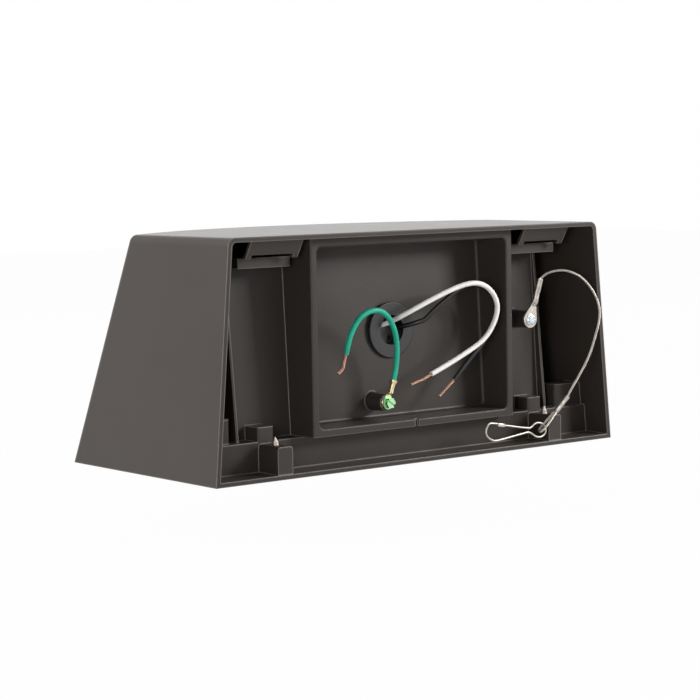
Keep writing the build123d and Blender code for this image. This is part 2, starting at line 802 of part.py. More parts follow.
# Wire gland: flange with a cup in the box, barrel through the wall, nut in the chamber
gland_seat = -floor_y(gland_z) - gland_pad_proud
gland_face = gland_seat - gland_flange_thick
gland_holes = [(6.3, 2.5), (-6.6, 1.9), (0.0, 7.0), (3.6, -5.8), (-3.6, -5.8)]
with BuildPart() as wire_gland:
    with BuildSketch(Plane.XZ.offset(gland_face)):
        with Locations((0, gland_z)):
            Circle(gland_flange_d / 2)
    extrude(amount=gland_flange_thick)
    flange_edge = wire_gland.edges().filter_by(GeomType.CIRCLE).sort_by(Axis.Y)[-1]
    fillet(flange_edge, gland_flange_round)
    with BuildSketch(Plane.XZ.offset(gland_seat)):
        with Locations((0, gland_z)):
            Circle(gland_barrel_d / 2)
    extrude(amount=gland_barrel_length)
    with BuildSketch(Plane.XZ.offset(gland_face)):
        with Locations((0, gland_z)):
            Circle(gland_cup_d / 2)
    extrude(amount=gland_cup_depth, mode=Mode.SUBTRACT)
    with BuildSketch(Plane.XZ.offset(gland_face + gland_cup_depth)):
        for x, z in gland_holes:
            with Locations((x, gland_z + z)):
                Circle(lead_d / 2 + gland_hole_gap)
    extrude(amount=gland_hole_depth, mode=Mode.SUBTRACT)
finish(wire_gland.part, "wire_gland")

with BuildPart() as gland_nut:
    with BuildSketch(Plane.XZ.offset(-floor_y(gland_z) + wall + gland_pad_inside)):
        with Locations((0, gland_z)):
            RegularPolygon(gland_nut_flats / 2, 6, major_radius=False)
            Circle(gland_barrel_d / 2 + screw_gap, mode=Mode.SUBTRACT)
    extrude(amount=gland_nut_thick)
finish(gland_nut.part, "gland_nut")

# Ground terminal and its screw on the boss in the box
lean = math.radians(ground_lean)
ground_up = Vector(-math.sin(lean), 0, math.cos(lean))
ground_ring_y = ground_boss_y - ground_ring_thick
ground_wire_y = ground_ring_y - 1.0
ground_at = Vector(ground_x, -ground_wire_y, ground_z)
with BuildPart() as ground_terminal:
    with BuildSketch(Plane.XZ.offset(ground_ring_y)):
        with Locations((ground_x, ground_z)):
            Circle(ground_ring_d / 2)
        neck_middle = ground_at + ground_up * (ground_barrel_start / 2 + over)
        with Locations(Location((neck_middle.X, neck_middle.Z), ground_lean)):
            Rectangle(ground_neck, ground_barrel_start)
        with Locations((ground_x, ground_z)):
            Circle(ground_screw_d / 2 + head_gap, mode=Mode.SUBTRACT)
    extrude(amount=ground_ring_thick)
    with BuildSketch(Plane(origin=ground_at + ground_up * ground_barrel_start, z_dir=ground_up)):
        Circle(ground_barrel_d / 2)
    extrude(amount=ground_barrel_end - ground_barrel_start)
finish(ground_terminal.part, "ground_terminal")

with BuildPart() as ground_screw:
    with BuildSketch(Plane.XZ.offset(ground_ring_y - ground_washer)):
        with Locations((ground_x, ground_z)):
            Circle(ground_washer_d / 2)
    extrude(amount=ground_washer)
    head_y = ground_ring_y - ground_washer - ground_head
    with BuildSketch(Plane.XZ.offset(head_y)):
        with Locations((ground_x, ground_z)):
            RegularPolygon(ground_hex / 2, 6, major_radius=False)
    extrude(amount=ground_head)
    with BuildSketch(Plane.XZ.offset(head_y)):
        with Locations(Location((ground_x, ground_z), 35)):
            Rectangle(2 * ground_hex, ground_slot)
    extrude(amount=ground_slot_depth, mode=Mode.SUBTRACT)
    with BuildSketch(Plane.XZ.offset(ground_ring_y)):
        with Locations((ground_x, ground_z)):
            Circle(ground_screw_d / 2 - screw_gap)
    extrude(amount=ground_ring_thick + ground_screw_reach - over)
finish(ground_screw.part, "ground_screw")

# Supply leads with stripped copper ends
ground_start = ground_at + ground_up * ground_barrel_end
green_first = ground_start + ground_up * green_lead_in
green_route = [tuple(ground_start), tuple(green_first)] + green_bends
green_copper = [green_route[-1], run_on(green_route, green_strip), green_tip]
finish(cord_tube("ground_lead", green_route, lead_d), "ground_lead")
finish(cord_tube("ground_lead_end", green_copper, copper_d), "ground_lead_end")
finish(cord_tube("white_lead", white_route, lead_d), "white_lead")
finish(cord_tube("black_lead", black_route, lead_d), "black_lead")
for name, route, strip in (
    ("white_lead_end", white_route, white_strip),
    ("black_lead_end", black_route, black_strip),
):
    with BuildPart() as copper:
        with BuildSketch(along(route[-1], run_on(route, strip))):
            Circle(copper_d / 2)
        extrude(amount=strip)
    finish(copper.part, name)

# Lanyard terminal: an eye under the screw and a flattened barrel on the cable
lean = math.radians(lanyard_lean)
lanyard_up = Vector(-math.sin(lean), 0, math.cos(lean))
lanyard_eye_y = lanyard_boss_y - lanyard_eye_thick
lanyard_cable_y = lanyard_boss_y - 0.2 - lanyard_barrel_thick / 2
lanyard_at = Vector(lanyard_x, -lanyard_cable_y, lanyard_z)
across = (math.cos(lean), 0, math.sin(lean))
eye_plane = Plane(origin=(lanyard_x, -lanyard_eye_y, lanyard_z), x_dir=across, z_dir=(0, -1, 0))
barrel_from = lanyard_at + lanyard_up * lanyard_barrel_start
shoulder = lanyard_eye_d / 2 * math.sqrt(0.5)
with BuildPart() as lanyard_terminal:
    with BuildSketch(eye_plane):
        Circle(lanyard_eye_d / 2)
        with BuildLine():
            Polyline(
                (-shoulder, shoulder),
                (-lanyard_neck / 2, lanyard_barrel_start + over),
                (lanyard_neck / 2, lanyard_barrel_start + over),
                (shoulder, shoulder),
                close=True,
            )
        make_face()
        Circle(lanyard_screw_d / 2 + head_gap, mode=Mode.SUBTRACT)
    extrude(amount=lanyard_eye_thick)
    with BuildSketch(Plane(origin=barrel_from, x_dir=across, z_dir=lanyard_up)):
        RectangleRounded(lanyard_neck, lanyard_barrel_thick, lanyard_barrel_thick / 3)
    extrude(amount=lanyard_barrel_end - lanyard_barrel_start)
finish(lanyard_terminal.part, "lanyard_terminal")

with BuildPart() as lanyard_screw:
    with BuildSketch(Plane.XZ.offset(lanyard_eye_y - lanyard_washer)):
        with Locations((lanyard_x, lanyard_z)):
            Circle(lanyard_washer_d / 2)
    extrude(amount=lanyard_washer)
    with BuildSketch(Plane.XZ.offset(lanyard_eye_y - lanyard_washer - lanyard_head)):
        with Locations((lanyard_x, lanyard_z)):
            RegularPolygon(lanyard_hex / 2, 6, major_radius=False)
    extrude(amount=lanyard_head)
    with BuildSketch(Plane.XZ.offset(lanyard_eye_y)):
        with Locations((lanyard_x, lanyard_z)):
            Circle(lanyard_screw_d / 2 - screw_gap)
    extrude(amount=lanyard_eye_thick + lanyard_screw_reach - over)
finish(lanyard_screw.part, "lanyard_screw")

# Steel cable, the ferrule on it and the loop that holds the snap hook
cable_start = lanyard_at + lanyard_up * lanyard_barrel_end
cable_first = cable_start + lanyard_up * cable_lead_in
ferrule_axis = (Vector(*ferrule_high) - Vector(*ferrule_low)).normalized()
cable_last = Vector(*ferrule_high) + ferrule_axis * cable_lead_out
cable_route = [tuple(cable_start), tuple(cable_first)] + cable_bends
cable_route += [tuple(cable_last), ferrule_high]
finish(cord_tube("lanyard_cable", cable_route, cable_d), "lanyard_cable")

with BuildPart() as lanyard_ferrule:
    with BuildSketch(along(ferrule_low, ferrule_high)):
        Circle(ferrule_d / 2)
    extrude(amount=(Vector(*ferrule_high) - Vector(*ferrule_low)).length)
    fillet(lanyard_ferrule.edges().filter_by(GeomType.CIRCLE), ferrule_d / 8)
finish(lanyard_ferrule.part, "lanyard_ferrule")

loop_end = Vector(*ferrule_low) - ferrule_axis * loop_end_gap
side_by_side = Vector(0, cable_d / 2 + screw_gap, 0)
loop_route = [
    tuple(loop_end + side_by_side),
    (loop_point[0], hook_y + loop_half_gap, loop_point[1]),
    (loop_point[0], hook_y - loop_half_gap, loop_point[1]),
    tuple(loop_end - side_by_side),
]
finish(cord_tube("lanyard_loop", loop_route, cable_d), "lanyard_loop")

# Snap hook bent from wire, with a springy gate leg that carries the latch
with BuildPart() as snap_hook:
    with BuildLine(Plane.XZ.offset(-hook_y)) as hook_line:
        FilletPolyline(*hook_outline, radius=hook_radii)
    wire_path = hook_line.wire()
    with BuildSketch(Plane(origin=wire_path @ 0, z_dir=wire_path % 0)):
        Circle(hook_wire / 2)
    sweep(path=wire_path)
finish(snap_hook.part, "snap_hook")

gate_from = (gate_start[0], hook_y, gate_start[1])
gate_to = (gate_end[0], hook_y, gate_end[1])
gate_direction = (Vector(*gate_to) - Vector(*gate_from)).normalized()
with BuildPart() as hook_gate:
    with BuildSketch(along(gate_from, gate_to)):
        Circle(hook_wire / 2)
    extrude(amount=(Vector(*gate_to) - Vector(*gate_from)).length + over)
    latch_plane = Plane(origin=gate_to, x_dir=(0, 1, 0), z_dir=gate_direction)
    with BuildSketch(latch_plane):
        Rectangle(latch_size, latch_size)
    extrude(amount=latch_length)
    fillet(hook_gate.edges().filter_by(lambda e: abs(e.length - latch_length) < 0.01), latch_size / 6)
finish(hook_gate.part, "hook_gate")
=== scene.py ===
# %% [markdown]
# # An outdoor wall light, seen from behind
# The light is a wedge-shaped aluminium casting that hangs on a wall plate. We look into its open rear:
# a wiring box with three supply leads, a ground screw, and a steel lanyard that carries the light while
# it is being wired. The solid model is already exact, so this lesson dresses it: camera and light, finishes,
# and the pieces that a solid model leaves plain, such as leads, stranded wire, threads and crimps.

# %% Load the solid model
import math

import bmesh
import bpy
from mathutils import Matrix, Vector


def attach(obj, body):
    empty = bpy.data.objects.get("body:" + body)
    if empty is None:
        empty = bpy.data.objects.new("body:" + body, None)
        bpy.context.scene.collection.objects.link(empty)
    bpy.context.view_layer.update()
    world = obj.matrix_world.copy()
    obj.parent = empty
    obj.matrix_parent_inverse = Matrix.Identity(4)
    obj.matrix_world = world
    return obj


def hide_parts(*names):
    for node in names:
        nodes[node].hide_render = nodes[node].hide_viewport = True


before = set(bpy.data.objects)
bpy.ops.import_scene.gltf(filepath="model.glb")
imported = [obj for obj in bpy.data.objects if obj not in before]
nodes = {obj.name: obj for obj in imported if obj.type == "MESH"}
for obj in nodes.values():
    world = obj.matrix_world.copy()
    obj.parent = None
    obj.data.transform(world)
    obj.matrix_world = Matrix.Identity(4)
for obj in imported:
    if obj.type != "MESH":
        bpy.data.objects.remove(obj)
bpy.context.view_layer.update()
print("nodes:", len(nodes))

# %% [markdown]
# ## The camera
# The photograph was taken from a metre and a half behind the light, off to one side and a little above.
# A long lens keeps the edges nearly parallel. We give the place of the camera and the point it aims at, turn
# it so that it looks there, and then roll it by the one degree that the photograph is turned.

# %% Camera
MM = 0.001
CAMERA_PLACE = Vector((913.1, 1076.3, 198.2)) * MM
CAMERA_AIM = Vector((15.1, -60.0, 69.8)) * MM
CAMERA_ROLL = math.radians(-0.99)
CAMERA_LENS = 113.16
SENSOR_WIDTH = 36.0


def new_object(name, data):
    """Object with this data, linked into the scene."""
    made = bpy.data.objects.new(name, data)
    bpy.context.collection.objects.link(made)
    return made


def facing(place, aim):
    """Turn that makes a camera or lamp at a place look at its aim."""
    return (aim - place).to_track_quat("-Z", "Y").to_matrix()


camera_data = bpy.data.cameras.new("photo_camera")
camera_data.lens = CAMERA_LENS
camera_data.sensor_width = SENSOR_WIDTH
camera = new_object("photo_camera", camera_data)
look = facing(CAMERA_PLACE, CAMERA_AIM)
roll = Matrix.Rotation(CAMERA_ROLL, 3, look.col[2])
camera.matrix_world = Matrix.Translation(CAMERA_PLACE) @ (roll @ look).to_4x4()
bpy.context.scene.camera = camera
print("camera stands", round((CAMERA_AIM - CAMERA_PLACE).length, 3), "m from its aim")

# %% [markdown]
# ## Helpers for finishes
# Colours are written as sRGB hex values, and Blender works with linear light, so one function converts them.
# One more function adds a node, sets its fields and makes its links, so that a finish reads as a short list of
# nodes. Pattern sizes are written in millimetres and turned into a scale.

# %% Colours, scales and nodes


def linear(hex_colour):
    """Linear colour, with alpha, from an sRGB hex value."""
    parts = [int(hex_colour[i : i + 2], 16) / 255 for i in (1, 3, 5)]
    rgb = [c / 12.92 if c <= 0.04045 else ((c + 0.055) / 1.055) ** 2.4 for c in parts]
    return (*rgb, 1.0)


def per_mm(size_mm):
    """Texture scale whose features are about this size."""
    return 1000.0 / size_mm


def add_node(tree, kind, settings=None, inputs=None):
    """Add a node, set its fields, and set or link its inputs."""
    node = tree.nodes.new(kind)
    for field, value in (settings or {}).items():
        setattr(node, field, value)
    for socket, value in (inputs or {}).items():
        if isinstance(value, bpy.types.NodeSocket):
            tree.links.new(value, node.inputs[socket])
        else:
            node.inputs[socket].default_value = value
    return node


WHITE = linear("#FFFFFF")
print("white is", WHITE, "and a pattern of 2 mm has the scale", per_mm(2.0))

# %% [markdown]
# Three steps come back in nearly every finish: a new material with its shader, a colour or roughness that
# wanders over patches, and a fine relief. Real surfaces are never one flat value, so each finish takes
# all three and only the sizes and colours differ.

# %% Steps of a finish
RAMP_STOPS = (0.3, 0.7)


def start_finish(name, roughness, metallic=0.0):
    """New material with its tree, its shader and object coordinates."""
    material = bpy.data.materials.new(name)
    material.use_nodes = True
    tree = material.node_tree
    shader = tree.nodes["Principled BSDF"]
    shader.inputs["Roughness"].default_value = roughness
    shader.inputs["Metallic"].default_value = metallic
    coords = add_node(tree, "ShaderNodeTexCoord")
    return material, tree, shader, coords.outputs["Object"]


def vary(tree, place, size_mm, low, high, detail=3.0):
    """Colour or grey that wanders between two values over patches of a size."""
    noise = add_node(
        tree,
        "ShaderNodeTexNoise",
        inputs={"Vector": place, "Scale": per_mm(size_mm), "Detail": detail},
    )
    ramp = add_node(tree, "ShaderNodeValToRGB", inputs={"Fac": noise.outputs["Fac"]})
    for stop, position, value in zip(ramp.color_ramp.elements, RAMP_STOPS, (low, high)):
        stop.position = position
        stop.color = value if isinstance(value, tuple) else (value, value, value, 1.0)
    return ramp.outputs["Color"]


def roughen(tree, shader, place, size_mm, depth_mm, strength, detail=2.0, over=None):
    """Relief with features of a size and depth, over the plain or a given normal."""
    noise = add_node(
        tree,
        "ShaderNodeTexNoise",
        inputs={"Vector": place, "Scale": per_mm(size_mm), "Detail": detail},
    )
    relief = add_node(
        tree,
        "ShaderNodeBump",
        inputs={"Height": noise.outputs["Fac"], "Strength": strength, "Distance": depth_mm * MM},
    )
    if over:
        tree.links.new(over, relief.inputs["Normal"])
    tree.links.new(relief.outputs["Normal"], shader.inputs["Normal"])


print("patches run between", RAMP_STOPS, "of the noise")

# %% [markdown]
# ## Floor and studio light
# The photograph has a white background and soft light, as from a white tent with one lamp on the right, a
# small one low on the camera's left that draws the edges, and two large ones that fill the sides.
# A pale floor lies a little under the light, clear of the swinging snap hook. It and the world look white to
# the camera and in reflections, while the lamps set how bright the object is.

# %% Floor
FLOOR_DROP = 45 * MM
FLOOR_SIZE = 8.0
PAPER_GREY = "#C4C2BF"
PAPER_ROUGHNESS = 0.9
SHADOW_SHARE = 0.02


def seen_rays(tree):
    """One for rays from the camera, a gloss or a glass, and nought for light that falls on things."""
    rays = add_node(tree, "ShaderNodeLightPath").outputs
    seen = rays["Is Camera Ray"]
    for kind in ("Is Glossy Ray", "Is Transmission Ray"):
        seen = add_node(tree, "ShaderNodeMath", {"operation": "MAXIMUM"}, {0: seen, 1: rays[kind]}).outputs[0]
    return seen


floor_mesh = bpy.data.meshes.new("studio_floor")
half = FLOOR_SIZE / 2
corners = [(-half, -half), (half, -half), (half, half), (-half, half)]
floor_mesh.from_pydata([(x, y, -FLOOR_DROP) for x, y in corners], [], [(0, 1, 2, 3)])
floor = new_object("studio_floor", floor_mesh)

floor_paper = bpy.data.materials.new("white_studio_paper")
floor_paper.use_nodes = True
tree = floor_paper.node_tree
paper = tree.nodes["Principled BSDF"]
paper.inputs["Base Color"].default_value = linear(PAPER_GREY)
paper.inputs["Roughness"].default_value = PAPER_ROUGHNESS
glow = add_node(tree, "ShaderNodeEmission", inputs={"Color": WHITE, "Strength": 1.0})
share = add_node(
    tree, "ShaderNodeMath", {"operation": "MULTIPLY"}, {0: seen_rays(tree), 1: 1 - SHADOW_SHARE}
)
mix = add_node(
    tree,
    "ShaderNodeMixShader",
    inputs={0: share.outputs[0], 1: paper.outputs["BSDF"], 2: glow.outputs["Emission"]},
)
tree.links.new(mix.outputs["Shader"], tree.nodes["Material Output"].inputs["Surface"])
floor_mesh.materials.append(floor_paper)
print("floor lies", round(FLOOR_DROP / MM), "mm under the light")

# %% World
WORLD_LIGHT = 0.13

world = bpy.data.worlds.new("white_tent")
bpy.context.scene.world = world
world.use_nodes = True
tree = world.node_tree
tent = tree.nodes["Background"]
tent.inputs["Color"].default_value = WHITE
level = add_node(
    tree,
    "ShaderNodeMapRange",
    inputs={"Value": seen_rays(tree), "To Min": WORLD_LIGHT, "To Max": 1.0},
)
tree.links.new(level.outputs["Result"], tent.inputs["Strength"])
print("world is white to the eye and lights with", WORLD_LIGHT)

# %% Lamps
LAMP_AIM = Vector((0, -0.08, 0.07))
# Name, place and size in metres, and power in watts.
LAMPS = [
    ("key_softbox", (-0.7, 0.66, 0.48), 0.3, 9.4),
    ("edge_softbox", (1.1, 0.86, 0.2), 0.3, 4.4),
    ("left_softbox", (2.1, -0.7, 1.3), 1.6, 64.0),
    ("back_softbox", (-1.2, -1.5, 0.75), 1.2, 4.2),
]
for name, place, size, power in LAMPS:
    lamp_data = bpy.data.lights.new(name, "AREA")
    lamp_data.shape = "SQUARE"
    lamp_data.size = size
    lamp_data.energy = power
    lamp = new_object(name, lamp_data)
    lamp.matrix_world = Matrix.Translation(Vector(place)) @ facing(Vector(place), LAMP_AIM).to_4x4()
    print(name, "at", place, "power", power)
bpy.context.scene.view_settings.view_transform = "Standard"

# %% [markdown]
# ## Die-cast aluminium with a textured powder coat
# The housing and its door are aluminium castings, coated with a dark bronze polyester powder that melts into a
# fine, even grit. It gives the eye a satin surface: dark from the front, and pale where one looks along it,
# because every coating mirrors at a flat angle. The grit is really about 0.3 mm and too fine for the picture,
# so it is drawn at 0.9 mm. A bevel node rounds the look of the casting's small edges, which the solid keeps
# sharp. Where the rounded normal leaves the flat one there is an edge, and there the colour turns lighter: this
# is mostly a painted highlight along every edge, convex and concave, and partly the thin, rubbed powder of real
# edges.

# %% Powder coat
COAT_DARK = "#3A3532"
COAT_LIGHT = "#3D3835"
# Light colour on the edges: mostly a painted highlight, partly real edge wear.
COAT_EDGE_WEAR_AND_HIGHLIGHT = "#958E88"
COAT_PATCH_MM = 60.0
COAT_ROUGHNESS = (0.38, 0.41)
COAT_ROUGHNESS_MM = 25.0
COAT_GLOSS = 0.23
GRIT_MM = 0.9
GRIT_DEPTH_MM = 0.12
EDGE_MM = 1.4
EDGE_SAMPLES = 8
# Agreement of the two normals where the painted edge highlight starts and where it is full, and its greatest
# share.
EDGE_LIGHT_START, EDGE_LIGHT_FULL, EDGE_LIGHT_MOST = 0.99, 0.82, 0.8


def powder_coat(name, dark, light, edge_wear_and_highlight):
    """Satin bronze powder coat with fine grit and softened edges, lightened by a painted highlight and some
    edge wear.
    """
    material, tree, shader, place = start_finish(name, COAT_ROUGHNESS[0])
    tree.links.new(vary(tree, place, COAT_ROUGHNESS_MM, *COAT_ROUGHNESS), shader.inputs["Roughness"])
    shader.inputs["Specular IOR Level"].default_value = COAT_GLOSS
    edge = add_node(tree, "ShaderNodeBevel", {"samples": EDGE_SAMPLES}, {"Radius": EDGE_MM * MM})
    flat = add_node(tree, "ShaderNodeNewGeometry")
    same = add_node(
        tree,
        "ShaderNodeVectorMath",
        {"operation": "DOT_PRODUCT"},
        {0: edge.outputs["Normal"], 1: flat.outputs["Normal"]},
    )
    # Mask of the edges, where the coat turns toward the light edge colour: a painted highlight with some real
    # wear.
    edge_wear_and_highlight_mask = add_node(
        tree,
        "ShaderNodeMapRange",
        inputs={
            "Value": same.outputs["Value"],
            "From Min": EDGE_LIGHT_START,
            "From Max": EDGE_LIGHT_FULL,
            "To Max": EDGE_LIGHT_MOST,
        },
    )
    coat = add_node(
        tree,
        "ShaderNodeMix",
        {"data_type": "RGBA"},
        {
            "Factor": edge_wear_and_highlight_mask.outputs["Result"],
            "A": vary(tree, place, COAT_PATCH_MM, linear(dark), linear(light)),
            "B": linear(edge_wear_and_highlight),
        },
    )
    tree.links.new(coat.outputs["Result"], shader.inputs["Base Color"])
    roughen(
        tree, shader, place, GRIT_MM, GRIT_DEPTH_MM, strength=0.4, detail=1.0, over=edge.outputs["Normal"]
    )
    return material


bronze_coat = powder_coat("powder_coated_aluminium", COAT_DARK, COAT_LIGHT, COAT_EDGE_WEAR_AND_HIGHLIGHT)
print("made", bronze_coat.name)

# %% [markdown]
# ## Rubber, plastics and glass
# The gland and the seals are moulded rubber: dark grey, with a slight bloom. Lead insulation is extruded
# PVC, which is smooth with a soft gloss. The lens is frosted tempered glass and the optics are clear acrylic.
# A polymer takes its skin from the tool that formed it, so one function makes them all, from two close shades,
# a roughness, the size of the patches and the depth of the skin.

# %% Rubber and plastics
SKIN_FINER = 6


def moulded(name, dark, light, roughness, patch_mm, relief_mm):
    """Moulded or extruded polymer with slight patches in its colour and a fine skin."""
    material, tree, shader, place = start_finish(name, roughness)
    tree.links.new(vary(tree, place, patch_mm, linear(dark), linear(light)), shader.inputs["Base Color"])
    roughen(tree, shader, place, patch_mm / SKIN_FINER, relief_mm, strength=0.3)
    return material


# EPDM and silicone, moulded: dark and dull, with a faint bloom.
gland_rubber = moulded("grey_epdm_rubber", "#151414", "#1D1C1C", 0.54, 4.0, 0.03)
seal_rubber = moulded("grey_silicone_rubber", "#26262A", "#313136", 0.6, 5.0, 0.03)
# PVC, extruded and dyed: smooth along the lead, with a soft line of gloss.
white_pvc = moulded("white_pvc_insulation", "#F1EEEA", "#F7F5F1", 0.38, 9.0, 0.006)
black_pvc = moulded("black_pvc_insulation", "#111112", "#19191A", 0.3, 9.0, 0.006)
green_pvc = moulded("green_pvc_insulation", "#049C80", "#0BB091", 0.5, 9.0, 0.006)
# ABS, moulded in an etched tool: black with a matt skin.
driver_plastic = moulded("black_abs_case", "#151515", "#1E1E1F", 0.55, 3.0, 0.05)
# Solder mask, printed on the boards: white and half matt.
board_mask = moulded("white_board_mask", "#DDE0DE", "#E9EBE9", 0.45, 8.0, 0.02)
# Phosphor in cured silicone: small yellow squares.
phosphor = moulded("yellow_led_phosphor", "#E2B32E", "#EFC64C", 0.5, 1.0, 0.02)
print("made", len(bpy.data.materials), "materials so far")

# %% Glass and acrylic
CLEAR_WAVE_MM = 30.0
CLEAR_WAVE_DEPTH_MM = 0.02


def clear(name, tint, roughness, ior):
    """Glass or acrylic that lets light through, with a faintly uneven surface."""
    material, tree, shader, place = start_finish(name, roughness)
    shader.inputs["Base Color"].default_value = linear(tint)
    shader.inputs["Transmission Weight"].default_value = 1.0
    shader.inputs["IOR"].default_value = ior
    roughen(tree, shader, place, CLEAR_WAVE_MM, CLEAR_WAVE_DEPTH_MM, strength=0.2)
    return material


# Glass, etched and tempered: it lets light through and hides what is behind it.
frosted_glass = clear("frosted_tempered_glass", "#EEF3F2", 0.32, 1.5)
# Acrylic, moulded in a polished tool: as clear as water.
clear_acrylic = clear("clear_acrylic", "#F4F7F7", 0.06, 1.49)
print("made", frosted_glass.name, "and", clear_acrylic.name)

# %% [markdown]
# ## Metals
# Most screws are zinc-plated steel, which is bright and slightly blue. The ground screw is dyed green, the ring
# terminal is tinned brass, the bare lead ends are copper, and the lanyard, its eye and its ferrule are bright
# steel. The lock screws and the hook's latch are nickel-plated. Each metal is a mirror made soft by fine
# scratches, so the roughness carries the pattern and the colour only drifts a little.

# %% Metals
SCRATCH_MM = 0.25
SCRATCH_DEPTH_MM = 0.03


def metal(name, dark, light, rough_low, rough_high, patch_mm=3.0):
    """Plated or drawn metal with handling marks, from two shades and two values of roughness."""
    material, tree, shader, place = start_finish(name, rough_low, metallic=1.0)
    tree.links.new(vary(tree, place, patch_mm, linear(dark), linear(light)), shader.inputs["Base Color"])
    tree.links.new(vary(tree, place, patch_mm / 2, rough_low, rough_high), shader.inputs["Roughness"])
    roughen(tree, shader, place, SCRATCH_MM, SCRATCH_DEPTH_MM, strength=0.15)
    return material


# Zinc plate: bright and slightly blue, or pale green where it is dyed.
zinc_steel = metal("zinc_plated_steel", "#C9D2D8", "#DDE4E8", 0.22, 0.36)
green_zinc = metal("green_dyed_zinc", "#98CC98", "#B9E2B4", 0.28, 0.42)
# Brass sheet, tinned and stamped: pale yellow.
brass = metal("tinned_brass", "#CDB98E", "#E4D6B2", 0.25, 0.4)
# Copper wire, drawn and stripped: brownish pink, dulled by air.
copper = metal("bare_copper", "#A07867", "#B8937F", 0.36, 0.5, patch_mm=2.0)
# Steel wire, drawn bright: grey, with a soft shine.
steel_wire = metal("bright_steel_wire", "#A39C94", "#B9B2A9", 0.36, 0.46)
# Nickel plate: a warm, clean grey.
nickel_plate = metal("nickel_plated_steel", "#BCB2AC", "#D3C9C3", 0.3, 0.42)
# Aluminium sheet as rolled: pale grey with broad, faint patches.
mill_aluminium = metal("mill_aluminium_sheet", "#B4B6B8", "#C4C6C8", 0.3, 0.42, patch_mm=20.0)
print("made", len(bpy.data.materials), "materials in all")

# %% [markdown]
# ## Solids that only need a finish
# The casting, the gland, the ground screw and everything behind the door have the right shape already. Their
# meshes stay as they are, and each gets its finish in place of the plain grey that it came with.

# %% Dress the solid pieces
FINISHES = {
    bronze_coat: ["housing", "door_frame"],
    gland_rubber: ["wire_gland"],
    seal_rubber: ["door_seal", "lens_seal"],
    driver_plastic: ["driver", "gland_nut"],
    board_mask: ["led_boards"],
    phosphor: ["led_emitters"],
    frosted_glass: ["lens"],
    clear_acrylic: ["optic_left", "optic_right"],
    mill_aluminium: ["light_tray"],
    zinc_steel: ["door_screws", "tray_screws", "driver_screws"],
    green_zinc: ["ground_screw"],
}
for finish, names in FINISHES.items():
    for name in names:
        nodes[name].data.materials.clear()
        nodes[name].data.materials.append(finish)
print("dressed", sum(len(names) for names in FINISHES.values()), "solid pieces")

# %% [markdown]
# ## Crimped terminals
# Both terminals are stamped from sheet metal: a flat eye for the screw runs into a tongue, and the tongue is
# rolled round the wire until its two edges meet in a seam. A solid model only needs the block that this fills.
# Here the eye is a ring of loops round the hole, and the barrel is lofted through sections that start flat,
# open into a seam and end in the mouth, so the seam and the shoulder come from the shape.

# %% Outlines
OUTLINE_POINTS = 36
BARREL_CURVE = 0.7
SEAM_HALF_MM = 0.5


def barrel_section(half_width, low, high, seam=0.0):
    """Outline of a rolled barrel, as (across, out), with a seam pressed into its upper side."""
    outline = []
    for step in range(OUTLINE_POINTS):
        turn = math.tau * step / OUTLINE_POINTS
        side, rise = (
            math.copysign(abs(wave) ** BARREL_CURVE, wave) for wave in (math.cos(turn), math.sin(turn))
        )
        across = half_width * side
        out = (low + high) / 2 + (high - low) / 2 * rise
        if rise > 0:
            out -= seam * math.exp(-((across / SEAM_HALF_MM) ** 2))
        outline.append((across, out))
    return outline


def turned_section(radius, flats=0):
    """Round outline, or a polygon with this many flats at the radius."""
    outline = []
    for step in range(OUTLINE_POINTS):
        turn = math.tau * step / OUTLINE_POINTS
        reach = radius
        if flats:
            reach = radius / math.cos(math.remainder(turn, math.tau / flats))
        outline.append((reach * math.cos(turn), reach * math.sin(turn)))
    return outline


print("each outline has", OUTLINE_POINTS, "points")

# %% Lofts and finished pieces
AXIS_X, AXIS_Y, AXIS_Z = Vector((1, 0, 0)), Vector((0, 1, 0)), Vector((0, 0, 1))
SHARP_ANGLE = 35


def join_loops(shape, loops, closed=False):
    """Faces between loops of vertices, with caps or back to the first loop."""
    for first, second in zip(loops, loops[1:] + (loops[:1] if closed else [])):
        for i in range(len(first)):
            j = (i + 1) % len(first)
            shape.faces.new((first[i], first[j], second[j], second[i]))
    if not closed:
        shape.faces.new(loops[0])
        shape.faces.new(loops[-1])


def loft_loops(shape, origin, along, aside, sections):
    """Join outlines that stand across a line; places are in millimetres."""
    outward = aside.cross(along)
    loops = [
        [
            shape.verts.new((Vector(origin) + along * distance + aside * a + outward * o) * MM)
            for a, o in outline
        ]
        for distance, outline in sections
    ]
    join_loops(shape, loops)


def made_piece(name, shape, finish):
    """Object from a finished shape, with sharp edges kept sharp."""
    bmesh.ops.recalc_face_normals(shape, faces=shape.faces)
    mesh = bpy.data.meshes.new(name)
    shape.to_mesh(mesh)
    shape.free()
    mesh.materials.append(finish)
    mesh.set_sharp_from_angle(angle=math.radians(SHARP_ANGLE))
    print(name, "has", len(mesh.polygons), "faces")
    return new_object(name, mesh)


def lofted(name, origin, along, aside, sections, finish):
    """Piece joined through outlines along a line."""
    shape = bmesh.new()
    loft_loops(shape, origin, along, aside, sections)
    return made_piece(name, shape, finish)


def stands_for(piece, body, node):
    """Let a piece move with a body and stand in a solid's place."""
    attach(piece, body)
    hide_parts(node)


print("edges over", SHARP_ANGLE, "degrees stay sharp")

# %% Terminal helper
EYE_STEP = 5
NECK_OVERLAP = 1


def eye_reach(ring_r, neck_half, neck_end, angle):
    """Distance from the hole's centre to the edge of a pear-shaped eye."""
    corner = math.atan2(neck_half, neck_end)
    touch = corner + math.acos(ring_r / math.hypot(neck_half, neck_end))
    bend = abs(math.remainder(angle, math.tau))
    if bend >= touch:
        return ring_r
    if bend <= corner:
        return neck_end / math.cos(bend)
    return ring_r / math.cos(touch - bend)


